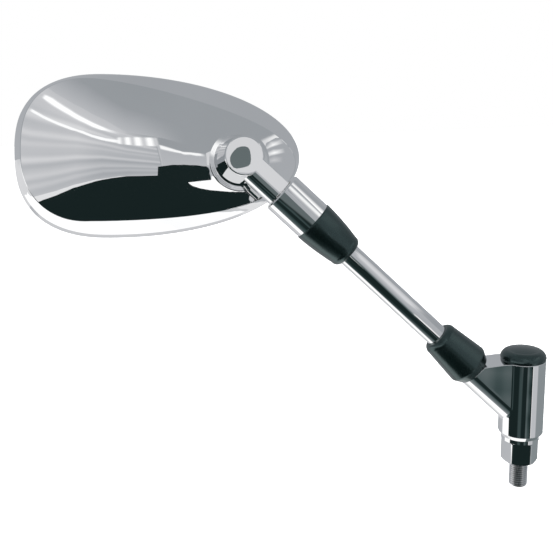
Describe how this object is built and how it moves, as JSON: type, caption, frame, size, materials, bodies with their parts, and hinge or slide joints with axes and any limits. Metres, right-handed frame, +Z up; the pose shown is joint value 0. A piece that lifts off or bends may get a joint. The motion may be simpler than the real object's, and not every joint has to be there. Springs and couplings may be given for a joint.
{
  "type": "motorcycle mirror",
  "caption": "Chrome handlebar mirror: egg-shaped head on a twisting, swivelling knuckle, straight slanted stem with rubber boots, and a sprung swivel base on a threaded stud.",
  "frame": {"origin": "centre of the hexagon's lower face, where the threaded stud starts", "axes": "+Z up along the stud and the swivel barrel, the stem leans towards -X, the glass looks towards +Y"},
  "size_m": [0.2783, 0.0518, 0.2334],
  "materials": {
    "chrome": "polished",
    "rubber": "satin",
    "zinc_steel": "zinc plated",
    "spring_steel": "oiled",
    "bearing_plastic": "natural",
    "carrier_plastic": "moulded",
    "mirror": "silvered"
  },
  "bodies": {
    "mount": {"mounting_stud": "zinc_steel", "thrust_washer": "zinc_steel", "spring_seat": "spring_steel", "pivot_spring": "spring_steel", "spring_cup": "spring_steel", "pivot_nut": "zinc_steel"},
    "arm": {"base_bracket": "chrome", "lower_bush": "bearing_plastic", "upper_bush": "bearing_plastic", "barrel_cap": "rubber", "stem_tube": "chrome", "stem_lock_nut": "zinc_steel", "lower_boot": "rubber", "upper_boot": "rubber", "stem_sleeve": "chrome", "sleeve_bush": "bearing_plastic"},
    "knuckle": {"swivel_knuckle": "chrome", "swivel_washer": "bearing_plastic", "swivel_screw": "zinc_steel", "swivel_spring": "spring_steel", "swivel_plate": "zinc_steel", "twist_screw": "zinc_steel", "twist_spring": "spring_steel"},
    "head": {"mirror_housing": "chrome", "mirror_glass": "mirror", "glass_seal": "rubber", "glass_backing": "carrier_plastic"}
  },
  "joints": [
    {"name": "base_swivel", "type": "hinge", "parent": "mount", "child": "arm", "pos_m": [0, 0, 0], "axis": [0, 0, 1], "range_deg": [-90, 90]},
    {"name": "stem_twist", "type": "hinge", "parent": "arm", "child": "knuckle", "pos_m": [0, 0, 0.02735], "axis": [-0.7096, 0, 0.7046], "range_deg": [-60, 60]},
    {"name": "head_swivel", "type": "hinge", "parent": "knuckle", "child": "head", "pos_m": [-0.14695, 0, 0.17328], "axis": [0.2248, -0.9478, 0.2263], "range_deg": [-45, 45]}
  ]
}
